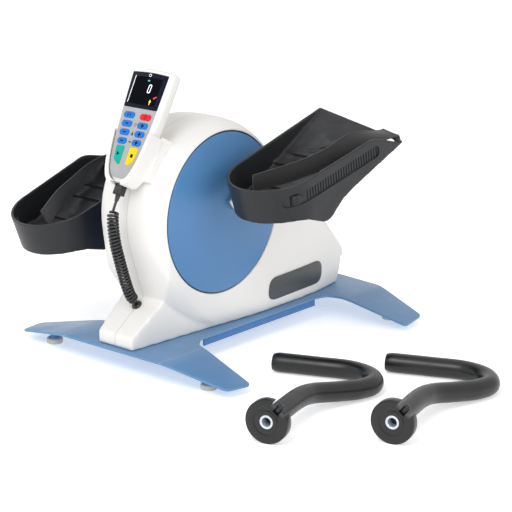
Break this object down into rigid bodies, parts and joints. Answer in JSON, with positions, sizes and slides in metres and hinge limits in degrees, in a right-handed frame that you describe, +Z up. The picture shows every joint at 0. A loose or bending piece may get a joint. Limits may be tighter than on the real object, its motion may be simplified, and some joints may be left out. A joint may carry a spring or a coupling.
{
  "type": "active passive trainer",
  "caption": "Motor-assisted trainer for legs and arms: drum housing on a splayed base, strapped foot shells on cranks, corded handset in a cradle, loose hand grips.",
  "frame": {"origin": "on the underside of the base plate, straight below the crank axis, on the middle plane", "axes": "+Z up, +Y to the machine's rear, +X to the right as seen by someone behind the handset facing the machine's rear"},
  "size_m": [0.8169, 0.6513, 0.4656],
  "materials": {
    "blue_sheet": "satin powder coat",
    "blue_disc": "satin",
    "off_white": "fine satin grain",
    "black_shell": "satin",
    "black_soft": "woven band",
    "grey_badge": "satin",
    "pad_rubber": "matt",
    "steel": "brushed",
    "dark_glass": "glossy",
    "keypad_grey": "matt film",
    "key_blue": "matt film",
    "key_red": "matt film",
    "key_green": "matt film",
    "key_yellow": "matt film",
    "board_green": "lacquered board",
    "motor_grey": "satin",
    "belt_black": "matt",
    "bushing_white": "smooth"
  },
  "bodies": {
    "base": {"base_plate": "blue_sheet", "housing_right": "off_white", "housing_left": "off_white", "badge_right": "grey_badge", "badge_left": "grey_badge", "bearing_right": "steel", "bearing_left": "steel", "inner_frame": "motor_grey", "drive_belt": "belt_black", "motor": "motor_grey", "circuit_board": "board_green", "power_inlet": "belt_black", "cradle": "off_white", "cord_gland": "belt_black", "curly_cord": "belt_black"},
    "foot_front_left": {"levelling_foot_front_left": "pad_rubber"},
    "foot_front_right": {"levelling_foot_front_right": "pad_rubber"},
    "foot_rear_left": {"levelling_foot_rear_left": "pad_rubber"},
    "foot_rear_right": {"levelling_foot_rear_right": "pad_rubber"},
    "crank": {"crank_disc_right": "blue_disc", "crank_disc_left": "blue_disc", "crank_plate_right": "steel", "crank_plate_left": "steel", "crank_axle": "steel", "drive_pulley": "motor_grey"},
    "motor_drive": {"motor_pulley": "steel"},
    "pin_right": {"pedal_pin_right": "steel"},
    "shell_right": {"foot_shell_right": "black_shell", "strap_right": "black_soft"},
    "slider_right": {"strap_slider_right": "black_shell"},
    "pin_left": {"pedal_pin_left": "steel"},
    "shell_left": {"foot_shell_left": "black_shell", "strap_left": "black_soft"},
    "slider_left": {"strap_slider_left": "black_shell"},
    "handset": {"handset_front": "off_white", "handset_back": "off_white", "display_window": "dark_glass", "keypad_overlay": "keypad_grey", "cord_plug": "belt_black"},
    "key_direction_cap": {"key_direction": "key_blue"},
    "key_power_cap": {"key_power": "key_red"},
    "key_minus_1_cap": {"key_minus_1": "key_blue"},
    "key_plus_1_cap": {"key_plus_1": "key_blue"},
    "key_minus_2_cap": {"key_minus_2": "key_blue"},
    "key_plus_2_cap": {"key_plus_2": "key_blue"},
    "key_minus_3_cap": {"key_minus_3": "key_blue"},
    "key_plus_3_cap": {"key_plus_3": "key_blue"},
    "key_start_cap": {"key_start": "key_green"},
    "key_stop_cap": {"key_stop": "key_yellow"},
    "grip_1": {"grip_1_tube": "black_shell", "grip_1_hub": "black_shell", "grip_1_bushing": "bushing_white"},
    "lock_pin_1": {"grip_1_lock_pin": "black_shell"},
    "grip_2": {"grip_2_tube": "black_shell", "grip_2_hub": "black_shell", "grip_2_bushing": "bushing_white"},
    "lock_pin_2": {"grip_2_lock_pin": "black_shell"}
  },
  "joints": [
    {"name": "foot_front_left_turn", "type": "hinge", "parent": "base", "child": "foot_front_left", "pos_m": [-0.17, -0.149, -0.02], "axis": [0, 0, 1], "range_deg": [-360, 1440]},
    {"name": "foot_front_right_turn", "type": "hinge", "parent": "base", "child": "foot_front_right", "pos_m": [0.17, -0.149, -0.02], "axis": [0, 0, 1], "range_deg": [-360, 1440]},
    {"name": "foot_rear_left_turn", "type": "hinge", "parent": "base", "child": "foot_rear_left", "pos_m": [-0.171, 0.316, -0.02], "axis": [0, 0, 1], "range_deg": [-360, 1440]},
    {"name": "foot_rear_right_turn", "type": "hinge", "parent": "base", "child": "foot_rear_right", "pos_m": [0.171, 0.316, -0.02], "axis": [0, 0, 1], "range_deg": [-360, 1440]},
    {"name": "crank_spin", "type": "hinge", "parent": "base", "child": "crank", "pos_m": [0, 0, 0.199], "axis": [1, 0, 0], "continuous": true},
    {"name": "motor_spin", "type": "hinge", "parent": "base", "child": "motor_drive", "pos_m": [0, 0.176, 0.062], "axis": [1, 0, 0], "continuous": true},
    {"name": "pin_right_turn", "type": "hinge", "parent": "crank", "child": "pin_right", "pos_m": [0.186, 0.05394, 0.24362], "axis": [1, 0, 0], "continuous": true},
    {"name": "shell_right_swing", "type": "hinge", "parent": "pin_right", "child": "shell_right", "pos_m": [0.186, 0.05394, 0.24362], "axis": [1, 0, 0], "range_deg": [-35, 35]},
    {"name": "slider_right_travel", "type": "hinge", "parent": "shell_right", "child": "slider_right", "pos_m": [0.186, -0.00876, 0.26531], "axis": [0, -0.247, 0.969], "range_deg": [0, 18]},
    {"name": "pin_left_turn", "type": "hinge", "parent": "crank", "child": "pin_left", "pos_m": [-0.186, -0.05394, 0.15438], "axis": [1, 0, 0], "continuous": true},
    {"name": "shell_left_swing", "type": "hinge", "parent": "pin_left", "child": "shell_left", "pos_m": [-0.186, -0.05394, 0.15438], "axis": [1, 0, 0], "range_deg": [-35, 35]},
    {"name": "slider_left_travel", "type": "hinge", "parent": "shell_left", "child": "slider_left", "pos_m": [-0.186, -0.11768, 0.17275], "axis": [0, 0.2974, -0.9548], "range_deg": [0, 18]},
    {"name": "handset_lift", "type": "slide", "parent": "base", "child": "handset", "axis": [0, 0.4587, 0.8886], "range_m": [0, 0.085]},
    {"name": "key_direction_press", "type": "slide", "parent": "handset", "child": "key_direction_cap", "axis": [0, 0.8886, -0.4587], "range_m": [0, 0.0006], "stiffness_N_per_m": 600, "springref_m": -0.0003},
    {"name": "key_power_press", "type": "slide", "parent": "handset", "child": "key_power_cap", "axis": [0, 0.8886, -0.4587], "range_m": [0, 0.0006], "stiffness_N_per_m": 600, "springref_m": -0.0003},
    {"name": "key_minus_1_press", "type": "slide", "parent": "handset", "child": "key_minus_1_cap", "axis": [0, 0.8886, -0.4587], "range_m": [0, 0.0006], "stiffness_N_per_m": 600, "springref_m": -0.0003},
    {"name": "key_plus_1_press", "type": "slide", "parent": "handset", "child": "key_plus_1_cap", "axis": [0, 0.8886, -0.4587], "range_m": [0, 0.0006], "stiffness_N_per_m": 600, "springref_m": -0.0003},
    {"name": "key_minus_2_press", "type": "slide", "parent": "handset", "child": "key_minus_2_cap", "axis": [0, 0.8886, -0.4587], "range_m": [0, 0.0006], "stiffness_N_per_m": 600, "springref_m": -0.0003},
    {"name": "key_plus_2_press", "type": "slide", "parent": "handset", "child": "key_plus_2_cap", "axis": [0, 0.8886, -0.4587], "range_m": [0, 0.0006], "stiffness_N_per_m": 600, "springref_m": -0.0003},
    {"name": "key_minus_3_press", "type": "slide", "parent": "handset", "child": "key_minus_3_cap", "axis": [0, 0.8886, -0.4587], "range_m": [0, 0.0006], "stiffness_N_per_m": 600, "springref_m": -0.0003},
    {"name": "key_plus_3_press", "type": "slide", "parent": "handset", "child": "key_plus_3_cap", "axis": [0, 0.8886, -0.4587], "range_m": [0, 0.0006], "stiffness_N_per_m": 600, "springref_m": -0.0003},
    {"name": "key_start_press", "type": "slide", "parent": "handset", "child": "key_start_cap", "axis": [0, 0.8886, -0.4587], "range_m": [0, 0.0006], "stiffness_N_per_m": 600, "springref_m": -0.0003},
    {"name": "key_stop_press", "type": "slide", "parent": "handset", "child": "key_stop_cap", "axis": [0, 0.8886, -0.4587], "range_m": [0, 0.0006], "stiffness_N_per_m": 600, "springref_m": -0.0003},
    {"name": "grip_1_lift", "type": "slide", "parent": "base", "child": "grip_1", "axis": [0, 0, 1], "range_m": [0, 0.1]},
    {"name": "lock_pin_1_pull", "type": "slide", "parent": "grip_1", "child": "lock_pin_1", "axis": [0.6209, 0.1664, 0.766], "range_m": [0, 0.004], "stiffness_N_per_m": 300, "springref_m": -0.001},
    {"name": "grip_2_lift", "type": "slide", "parent": "base", "child": "grip_2", "axis": [0, 0, 1], "range_m": [0, 0.1]},
    {"name": "lock_pin_2_pull", "type": "slide", "parent": "grip_2", "child": "lock_pin_2", "axis": [0.6209, 0.1664, 0.766], "range_m": [0, 0.004], "stiffness_N_per_m": 300, "springref_m": -0.001}
  ],
  "couplings": [
    {"joint": "motor_spin", "follows": "crank_spin", "ratio": 5.1765},
    {"joint": "pin_right_turn", "follows": "crank_spin", "ratio": -1},
    {"joint": "pin_left_turn", "follows": "crank_spin", "ratio": -1}
  ]
}
